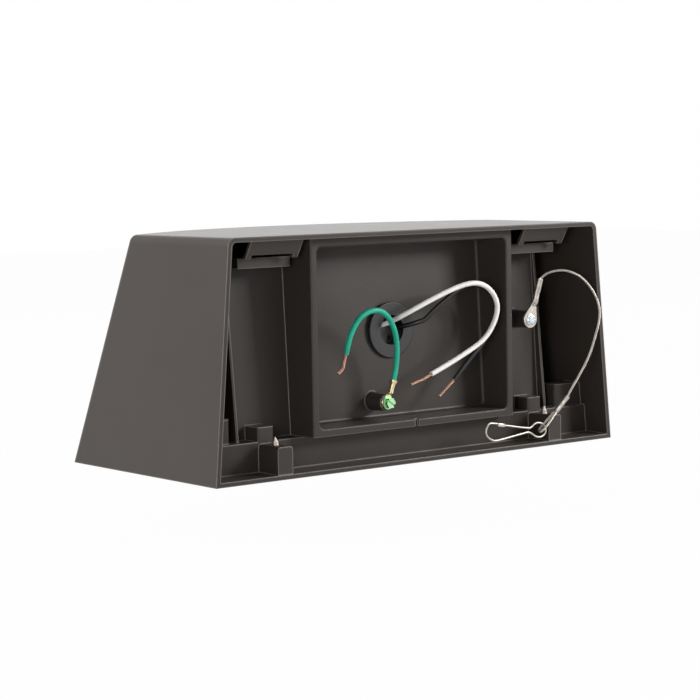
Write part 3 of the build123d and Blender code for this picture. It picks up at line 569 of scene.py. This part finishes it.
def crimped_terminal(name, centre, lean, ring_d, hole_d, thick, neck, sections, finish):
    """Stamped eye with a rolled barrel, in millimetres, with the eye's flat side on y of the centre."""
    tilt = math.radians(lean)
    aside = Vector((-math.cos(tilt), 0, -math.sin(tilt)))
    upward = Vector((-math.sin(tilt), 0, math.cos(tilt)))
    neck_end = sections[0][0] + NECK_OVERLAP
    chamfer = thick / 5
    shape = bmesh.new()
    ring = []
    for inset, height in ((None, 0), (0, 0), (0, thick - chamfer), (chamfer, thick), (None, thick)):
        loop = []
        for angle in map(math.radians, range(0, 360, EYE_STEP)):
            reach = hole_d / 2
            if inset is not None:
                reach = eye_reach(ring_d / 2, neck / 2, neck_end, angle) - inset
            place = Vector(centre) + aside * reach * math.sin(angle) + upward * reach * math.cos(angle)
            loop.append(shape.verts.new((place + AXIS_Y * height) * MM))
        ring.append(loop)
    join_loops(shape, ring, closed=True)
    barrel = [(along, barrel_section(*sizes)) for along, *sizes in sections]
    loft_loops(shape, centre, upward, aside, barrel)
    return made_piece(name, shape, finish)


print("each eye has", 360 // EYE_STEP, "points round its hole")

# %% Two terminals
EYE_PLACE = (-109.3, -20.0, 84.6)
EYE_THICK = 1.5
RING_PLACE = (17.3, -20.0, 38.1)
# Distance along the barrel, half its width, its lower and upper side, and the depth of the seam.
LANYARD_BARREL = [
    (9.2, 2.3, 0.1, 1.5, 0.0), (10.4, 2.3, 0.1, 2.0, 0.9), (11.2, 2.3, 0.15, 2.9, 1.7),
    (12.2, 2.3, 0.2, 3.3, 1.0), (14.0, 2.25, 0.2, 3.3, 0.5), (16.0, 2.15, 0.3, 3.0, 0.5),
    (19.0, 2.15, 0.3, 3.0, 0.5), (20.5, 2.25, 0.2, 3.3, 0.5), (25.0, 2.2, 0.2, 3.3, 0.5),
    (27.6, 2.15, 0.2, 3.3, 0.5), (28.3, 2.3, 0.2, 3.4, 0.4), (28.6, 2.2, 0.3, 3.3, 0.4),
]
GROUND_BARREL = [
    (4.6, 1.7, 0.05, 0.8, 0.0), (5.6, 1.65, 0.1, 1.5, 0.5), (6.4, 1.6, 0.2, 3.1, 1.3),
    (7.2, 1.55, 0.2, 3.3, 0.7), (8.6, 1.5, 0.2, 3.2, 0.4), (10.6, 1.5, 0.2, 3.2, 0.4),
    (12.2, 1.6, 0.1, 3.4, 0.3), (13.0, 1.8, 0.0, 3.6, 0.1), (13.9, 2.4, -0.2, 4.1, 0.0),
    (14.9, 2.5, -0.2, 4.15, 0.0), (15.1, 2.35, -0.1, 4.0, 0.0),
]
lanyard_eye = crimped_terminal(
    "lanyard_eye", EYE_PLACE, lean=18.1, ring_d=11.8, hole_d=4.8, thick=EYE_THICK, neck=4.6,
    sections=LANYARD_BARREL, finish=steel_wire,
)
ground_ring = crimped_terminal(
    "ground_ring", RING_PLACE, lean=18.2, ring_d=8.6, hole_d=4.6, thick=0.8, neck=3.4,
    sections=GROUND_BARREL, finish=brass,
)
stands_for(lanyard_eye, "housing", "lanyard_terminal")
stands_for(ground_ring, "housing", "ground_terminal")

# %% [markdown]
# ## The lanyard's screw
# The screw that clamps the eye has a hexagon on a round flange, and its top is dished, as cold-headed screws
# are. The loft goes up its axis: shank, flange, six flats, and the dish, with the outline changing from a round
# to a hexagon and back.

# %% Hex flange screw
# Height over the eye, radius, and number of flats.
SCREW_PROFILE = [
    (-13.4, 1.8, 0), (-12.8, 2.1, 0), (0.0, 2.1, 0), (0.02, 3.8, 0), (0.5, 3.8, 0), (0.75, 3.5, 0),
    (0.8, 2.8, 6), (2.3, 2.8, 6), (2.65, 2.45, 0), (2.7, 1.8, 0), (2.4, 1.5, 0),
]
eye_screw = lofted(
    "lanyard_hex_screw",
    Vector(EYE_PLACE) + AXIS_Y * EYE_THICK,
    AXIS_Y,
    AXIS_X,
    [(height, turned_section(radius, flats)) for height, radius, flats in SCREW_PROFILE],
    zinc_steel,
)
stands_for(eye_screw, "housing", "lanyard_screw")

# %% [markdown]
# ## Lock screws
# Two pointed set screws come up through the lower blocks and lock the wall plate. Each is an M5 thread with a
# hexagon socket underneath. The loft starts at the floor of the socket, turns over the lower rim and climbs the
# thread in steps of a tenth of a millimetre: at every height the radius depends on the angle, and that angle
# turns with the height, which is all that a helix is. A cone cuts the thread off at the point.

# %% Threaded lock screws
LOCK_PLACE = (113.9, -11.2, 3.2)
LOCK_LENGTH, LOCK_CREST, LOCK_DEPTH, LOCK_PITCH = 22.4, 2.45, 0.4, 0.8
LOCK_POINT, LOCK_TIP, LOCK_CHAMFER, LOCK_SOCKET = 3.4, 0.2, 0.4, 2.5
LOCK_STEP = 0.1
SOCKET_FLATS = 6


def thread_section(height, crest, depth, pitch, limit):
    """Outline across a right-hand thread at a height, cut off at a limit."""
    outline = []
    for step in range(OUTLINE_POINTS):
        turn = step / OUTLINE_POINTS
        flank = abs(2 * ((height / pitch + turn) % 1.0) - 1)
        reach = min(limit, crest - depth * flank)
        outline.append((reach * math.cos(math.tau * turn), reach * math.sin(math.tau * turn)))
    return outline


lock_sections = [
    (height, turned_section(LOCK_SOCKET / 2, SOCKET_FLATS)) for height in (LOCK_SOCKET, 0.0)
]
for step in range(round(LOCK_LENGTH / LOCK_STEP) + 1):
    height = step * LOCK_STEP
    rim = LOCK_CREST - max(0.0, LOCK_CHAMFER - height)
    cone = LOCK_TIP + (LOCK_LENGTH - height) / LOCK_POINT * (LOCK_CREST - LOCK_TIP)
    section = thread_section(height, LOCK_CREST, LOCK_DEPTH, LOCK_PITCH, min(rim, cone))
    lock_sections.append((height, section))
for side, node in ((1, "lock_screw_left"), (-1, "lock_screw_right")):
    x, y, z = LOCK_PLACE
    lock_screw = lofted(f"{node}_thread", (side * x, y, z), AXIS_Z, AXIS_X, lock_sections, nickel_plate)
    stands_for(lock_screw, node, node)

# %% [markdown]
# ## Supply leads
# A lead is copper strands in an extruded sleeve. The white and the black one leave the gland, spring round in
# one loop and end in the air, because nobody has joined them yet. The green one rises from its ring terminal.
# A NURBS curve of order 3, steered by given points, bends as evenly as the real wire does, and its round
# bevel makes the sleeve.

# %% Line helpers
LINE_STEPS = 8
BEVEL_STEPS = 6


def smooth_line(name, points_mm):
    """One open NURBS curve with these control points, in millimetres."""
    data = bpy.data.curves.new(name, "CURVE")
    data.dimensions = "3D"
    data.resolution_u = LINE_STEPS
    data.use_fill_caps = True
    spline = data.splines.new("NURBS")
    spline.points.add(len(points_mm) - 1)
    for point, place in zip(spline.points, points_mm):
        point.co = (*(v * MM for v in place), 1.0)
    spline.order_u = 3
    spline.use_endpoint_u = True
    return new_object(name, data)


def line_points(line):
    """Points along a curve that has no bevel yet."""
    depsgraph = bpy.context.evaluated_depsgraph_get()
    mesh = bpy.data.meshes.new_from_object(line.evaluated_get(depsgraph))
    points = [v.co.copy() for v in mesh.vertices]
    bpy.data.meshes.remove(mesh)
    return points


def run_length(points):
    """Length of a run of points."""
    return sum((b - a).length for a, b in zip(points, points[1:]))


def round_wire(line, across_mm, finish):
    """Make a line as thick as its wire, and print how long it is."""
    length = run_length(line_points(line))
    line.data.bevel_depth = across_mm / 2 * MM
    line.data.bevel_resolution = BEVEL_STEPS
    line.data.materials.append(finish)
    print(line.name, "is", round(length / MM, 1), "mm long")
    return length


print("a wire has", 2 * BEVEL_STEPS + 4, "faces round it")

# %% Lead sleeves
LEAD_ROUTES = {
    "white_lead": [
        (6.3, -44.3, 86.0), (6.5, -38.4, 86.7), (5.0, -31.6, 88.7), (2.4, -25.6, 91.8),
        (-5.1, -20.2, 96.5), (-16.4, -16.6, 102.1), (-29.2, -14.1, 107.4), (-39.1, -12.7, 110.7),
        (-47.4, -11.1, 112.6), (-54.8, -10.1, 112.5), (-62.0, -9.6, 109.6), (-67.1, -9.2, 104.7),
        (-70.1, -9.0, 98.7), (-70.1, -8.9, 92.6), (-67.7, -9.4, 85.7), (-63.0, -10.0, 78.4),
        (-55.7, -10.8, 72.2), (-43.8, -11.8, 66.5), (-33.3, -12.6, 61.6), (-15.2, -13.0, 54.7),
    ],
    "black_lead": [
        (-6.6, -44.3, 85.4), (-7.4, -36.5, 84.6), (-10.8, -30.1, 86.4), (-15.0, -24.6, 88.4),
        (-18.6, -22.5, 89.8), (-21.7, -21.0, 93.4), (-27.0, -19.6, 98.0), (-34.8, -18.1, 103.7),
        (-42.4, -16.9, 108.8), (-51.2, -16.0, 111.4), (-59.0, -15.4, 111.0), (-66.1, -15.0, 108.4),
        (-71.2, -14.8, 103.8), (-74.3, -14.8, 97.9), (-74.4, -14.9, 92.0), (-72.0, -15.2, 85.0),
        (-67.4, -15.7, 78.0), (-61.2, -16.5, 69.0), (-56.7, -16.7, 66.4), (-40.0, -18.8, 48.8),
    ],
    "ground_lead": [
        (12.7, -18.2, 52.1), (11.0, -17.8, 59.8), (11.0, -16.8, 65.6), (11.6, -15.5, 72.9),
        (13.1, -14.2, 80.1), (15.9, -13.0, 86.6), (19.8, -12.1, 92.8), (25.4, -11.5, 97.6),
        (32.3, -11.0, 99.7), (40.7, -11.3, 98.0), (46.7, -11.9, 93.5), (50.9, -12.8, 86.3),
        (52.9, -13.5, 80.5), (53.9, -15.0, 72.4),
    ],
}
# Finish, slot, and diameter in millimetres.
LEAD_FINISH = {
    "white_lead": (white_pvc, "white_wire", 3.4),
    "black_lead": (black_pvc, "black_wire", 3.2),
    "ground_lead": (green_pvc, "green_wire", 3.6),
}
leads = {}
for name, route in LEAD_ROUTES.items():
    finish, slot, across_mm = LEAD_FINISH[name]
    leads[name] = smooth_line(f"{name}_sleeve", route)
    round_wire(leads[name], across_mm, finish)
    stands_for(leads[name], "housing", name)

# %% [markdown]
# ## Stranded wire
# The bare lead ends and the lanyard are both wires laid round each other. One Geometry Nodes tree makes them
# all: it resamples a curve, copies it once per strand, pushes each copy out from the centre line by an angle
# that grows along the wire, and sweeps a small circle along each. The lay is the length of one full turn.

# %% Strand tree and its inputs
strand_tree = bpy.data.node_groups.new("laid_strands", "GeometryNodeTree")
face = strand_tree.interface
face.new_socket("Geometry", in_out="INPUT", socket_type="NodeSocketGeometry")
STRAND_INPUTS = {
    name: face.new_socket(name, in_out="INPUT", socket_type=kind).identifier
    for name, kind in (
        ("Strands", "NodeSocketInt"),
        ("Strand radius", "NodeSocketFloat"),
        ("Core radius", "NodeSocketFloat"),
        ("Lay radius", "NodeSocketFloat"),
        ("Lay", "NodeSocketFloat"),
        ("Step", "NodeSocketFloat"),
        ("Material", "NodeSocketMaterial"),
    )
}
face.new_socket("Geometry", in_out="OUTPUT", socket_type="NodeSocketGeometry")
given = add_node(strand_tree, "NodeGroupInput").outputs
print("strand tree takes", ", ".join(STRAND_INPUTS))

# %% Copies of the line, turned round it
even = add_node(
    strand_tree,
    "GeometryNodeResampleCurve",
    {"mode": "LENGTH"},
    {"Curve": given["Geometry"], "Length": given["Step"]},
).outputs["Curve"]
copies = add_node(
    strand_tree,
    "GeometryNodeDuplicateElements",
    {"domain": "SPLINE"},
    {"Geometry": even, "Amount": given["Strands"]},
).outputs
run = add_node(strand_tree, "GeometryNodeSplineParameter").outputs["Length"]
turns = add_node(
    strand_tree, "ShaderNodeMath", {"operation": "DIVIDE"}, {0: run, 1: given["Lay"]}
).outputs[0]
start = add_node(
    strand_tree,
    "ShaderNodeMath",
    {"operation": "DIVIDE"},
    {0: copies["Duplicate Index"], 1: given["Strands"]},
).outputs[0]
total = add_node(strand_tree, "ShaderNodeMath", {"operation": "ADD"}, {0: turns, 1: start}).outputs[0]
angle = add_node(
    strand_tree, "ShaderNodeMath", {"operation": "MULTIPLY"}, {0: total, 1: math.tau}
).outputs[0]
normal = add_node(strand_tree, "GeometryNodeInputNormal").outputs["Normal"]
tangent = add_node(strand_tree, "GeometryNodeInputTangent").outputs["Tangent"]
outward = add_node(
    strand_tree,
    "ShaderNodeVectorRotate",
    {"rotation_type": "AXIS_ANGLE"},
    {"Vector": normal, "Axis": tangent, "Angle": angle},
).outputs["Vector"]
offset = add_node(
    strand_tree, "ShaderNodeVectorMath", {"operation": "SCALE"}, {0: outward, "Scale": given["Lay radius"]}
).outputs["Vector"]
laid = add_node(
    strand_tree, "GeometryNodeSetPosition", inputs={"Geometry": copies["Geometry"], "Offset": offset}
).outputs["Geometry"]
print("strand tree has", len(strand_tree.nodes), "nodes so far")

# %% Sweep, join and dress the strands
STRAND_SIDES = 8

both = add_node(strand_tree, "GeometryNodeJoinGeometry")
for wires, thickness in ((laid, "Strand radius"), (even, "Core radius")):
    ring = add_node(
        strand_tree,
        "GeometryNodeCurvePrimitiveCircle",
        inputs={"Resolution": STRAND_SIDES, "Radius": given[thickness]},
    ).outputs["Curve"]
    swept = add_node(
        strand_tree,
        "GeometryNodeCurveToMesh",
        inputs={"Curve": wires, "Profile Curve": ring, "Fill Caps": True},
    ).outputs["Mesh"]
    strand_tree.links.new(swept, both.inputs["Geometry"])
soft = add_node(
    strand_tree, "GeometryNodeSetShadeSmooth", inputs={"Geometry": both.outputs["Geometry"]}
).outputs["Geometry"]
real = add_node(strand_tree, "GeometryNodeRealizeInstances", inputs={"Geometry": soft}).outputs["Geometry"]
dressed = add_node(
    strand_tree,
    "GeometryNodeSetMaterial",
    inputs={"Geometry": real, "Material": given["Material"]},
).outputs["Geometry"]
add_node(strand_tree, "NodeGroupOutput", inputs={"Geometry": dressed})
print("strand tree has", len(strand_tree.nodes), "nodes")

# %% [markdown]
# The strands of a round wire touch each other and their core, so their number and the wire's diameter give
# every other size. The stripped ends are short and a little bent, as a stripping tool leaves them.

# %% Lay strands along a line
STEP_PER_RADIUS = 1.6


def lay_strands(name, points_mm, across_mm, lay_mm, finish, strands=6):
    """Mesh of strands laid round a core, and the points of its centre line."""
    line = smooth_line(name, points_mm)
    centre = line_points(line)
    pack = math.sin(math.pi / strands)
    radius = across_mm / 2 * pack / (1 + pack) * MM
    laying = line.modifiers.new("laid_strands", "NODES")
    laying.node_group = strand_tree
    sizes = {
        "Strands": strands,
        "Strand radius": radius,
        "Core radius": across_mm / 2 * MM - 2 * radius,
        "Lay radius": across_mm / 2 * MM - radius,
        "Lay": lay_mm * MM,
        "Step": radius * STEP_PER_RADIUS,
        "Material": finish,
    }
    for label, value in sizes.items():
        laying[STRAND_INPUTS[label]] = value
    depsgraph = bpy.context.evaluated_depsgraph_get()
    mesh = bpy.data.meshes.new_from_object(line.evaluated_get(depsgraph))
    bpy.data.objects.remove(line)
    mesh.name = name
    print(name, "has", len(mesh.polygons), "faces along", round(run_length(centre) / MM, 1), "mm")
    return new_object(name, mesh), centre


print("strands are drawn in steps of", STEP_PER_RADIUS, "times their radius")

# %% Bare copper ends
COPPER_D = {"white_lead": 1.9, "black_lead": 1.8, "ground_lead": 2.1}
COPPER_LAY = 9.0
COPPER_ROUTES = {
    "white_lead": [(-15.2, -13.0, 54.7), (-7.4, -13.2, 51.4), (-4.2, -13.4, 50.9), (1.8, -13.5, 49.1)],
    "black_lead": [(-40.0, -18.8, 48.8), (-34.4, -19.3, 44.3), (-32.6, -19.6, 42.6), (-27.7, -20.1, 38.6)],
    "ground_lead": [(53.9, -15.0, 72.4), (55.5, -15.9, 66.0), (55.6, -16.1, 62.7), (59.7, -16.5, 60.3)],
}
for name, route in COPPER_ROUTES.items():
    bare, _ = lay_strands(f"{name}_copper", route, COPPER_D[name], COPPER_LAY, copper)
    stands_for(bare, "housing", f"{name}_end")

# %% [markdown]
# ## The lanyard
# The lanyard is a thin wire rope, twelve strands round a core. It is crimped into an eye under a hex screw,
# hangs out in a loose arc, and ends in a crimped ferrule whose loop holds the snap hook. The same strand tree
# makes the rope and the loop.

# %% Lanyard rope and loop
ROPE_D = 1.6
ROPE_LAY = 11.0
ROPE_STRANDS = 12
ROPE_ROUTE = [
    (-118.2, -18.2, 111.8), (-121.0, -16.8, 114.9), (-125.1, -13.1, 116.9), (-129.9, -8.9, 117.7),
    (-134.9, -5.5, 116.3), (-140.6, -1.9, 113.0), (-145.6, 1.0, 107.0), (-149.2, 3.3, 100.2),
    (-150.7, 5.1, 93.5), (-150.6, 6.2, 86.7), (-148.6, 6.7, 79.6), (-145.7, 6.8, 73.0),
    (-142.3, 6.5, 63.8), (-138.1, 5.9, 55.6), (-131.2, 4.5, 45.0), (-127.1, 3.8, 39.6),
    (-122.8, 2.6, 32.5),
]
LOOP_ROUTE = [
    (-112.39, 2.5, 22.8), (-108.5, 3.2, 19.5), (-104.3, 3.6, 16.0), (-98.9, 3.8, 11.5), (-97.4, 1.6, 10.3),
    (-98.9, -0.6, 11.5), (-104.3, -0.4, 16.0), (-108.5, 0.1, 19.5), (-112.39, 0.9, 22.8),
]
rope, rope_points = lay_strands("lanyard_rope", ROPE_ROUTE, ROPE_D, ROPE_LAY, steel_wire, ROPE_STRANDS)
loop, _ = lay_strands("lanyard_rope_loop", LOOP_ROUTE, ROPE_D, ROPE_LAY, steel_wire, ROPE_STRANDS)
stands_for(rope, "housing", "lanyard_cable")
stands_for(loop, "housing", "lanyard_loop")

# %% [markdown]
# ## The snap hook
# The hook is one piece of spring wire, bent round a small eye and a long bow. Its free leg is the gate, which
# springs inwards and carries a short rolled sleeve as its latch. The solid has straight runs with rounded
# corners; the real wire has no straight corner at all, so NURBS curves steered by its bends replace it.

# %% Hook wire
HOOK_D = 1.4
HOOK_PLANE_Y = 1.6
# Places in the hook's own plane, as (x, z).
HOOK_BENDS = [
    (-60.0, 19.1), (-52.7, 20.8), (-50.3, 18.0), (-48.9, 14.8), (-50.1, 11.4), (-53.6, 9.2), (-57.1, 7.9),
    (-68.2, 9.1), (-83.9, 10.9), (-87.4, 11.3), (-90.8, 9.7), (-94.1, 7.4), (-98.4, 6.7), (-102.4, 8.4),
    (-103.6, 11.4), (-101.5, 15.1), (-97.0, 16.9), (-93.1, 16.5), (-90.2, 14.2), (-88.4, 13.9),
]
hook_wire = smooth_line("snap_hook_wire", [(x, HOOK_PLANE_Y, z) for x, z in HOOK_BENDS])
round_wire(hook_wire, HOOK_D, steel_wire)
stands_for(hook_wire, "snap_hook", "snap_hook")

# %% Gate and latch
GATE_BENDS = [(-88.6, 13.8), (-80.5, 14.9), (-72.5, 16.5), (-63.5, 18.0)]
GATE_LINE = Vector((23.3, 0, 3.9)).normalized()
LATCH_PLACE = (-65.3, HOOK_PLANE_Y, 17.7)
# Distance along the gate, half the width, and the depth of the seam.
LATCH_SIZES = [(-0.4, 1.0, 0.0), (0.1, 1.3, 0.2), (2.6, 1.3, 0.3), (5.5, 1.3, 0.2), (6.0, 1.0, 0.0)]
gate_wire = smooth_line("hook_gate_wire", [(x, HOOK_PLANE_Y, z) for x, z in GATE_BENDS])
round_wire(gate_wire, HOOK_D, steel_wire)
latch = lofted(
    "hook_latch",
    LATCH_PLACE,
    GATE_LINE,
    AXIS_Y,
    [(along, barrel_section(half, -half, half, seam)) for along, half, seam in LATCH_SIZES],
    nickel_plate,
)
stands_for(gate_wire, "hook_gate", "hook_gate")
stands_for(latch, "hook_gate", "hook_gate")

# %% [markdown]
# ## The ferrule
# The ferrule is a short tube, pressed in at two places so that it grips the rope and both ends of the loop.
# The loft follows the line from the loop to the rope's last point and narrows at each press.

# %% Ferrule
FERRULE_LOW = Vector((-112.5, 1.8, 22.9))
# Distance along the ferrule, and its radius.
FERRULE_SIZES = [
    (0.0, 1.4), (0.3, 1.7), (3.0, 1.7), (3.8, 1.6), (5.2, 1.6), (6.0, 1.7), (8.0, 1.7), (8.8, 1.6),
    (10.2, 1.6), (11.0, 1.7), (13.8, 1.7), (14.1, 1.4),
]
ferrule = lofted(
    "crimped_ferrule",
    FERRULE_LOW,
    (Vector(ROPE_ROUTE[-1]) - FERRULE_LOW).normalized(),
    AXIS_Y,
    [(along, barrel_section(radius, -radius, radius)) for along, radius in FERRULE_SIZES],
    steel_wire,
)
stands_for(ferrule, "housing", "lanyard_ferrule")

print("lanyard carries", ferrule.name, "and", loop.name)
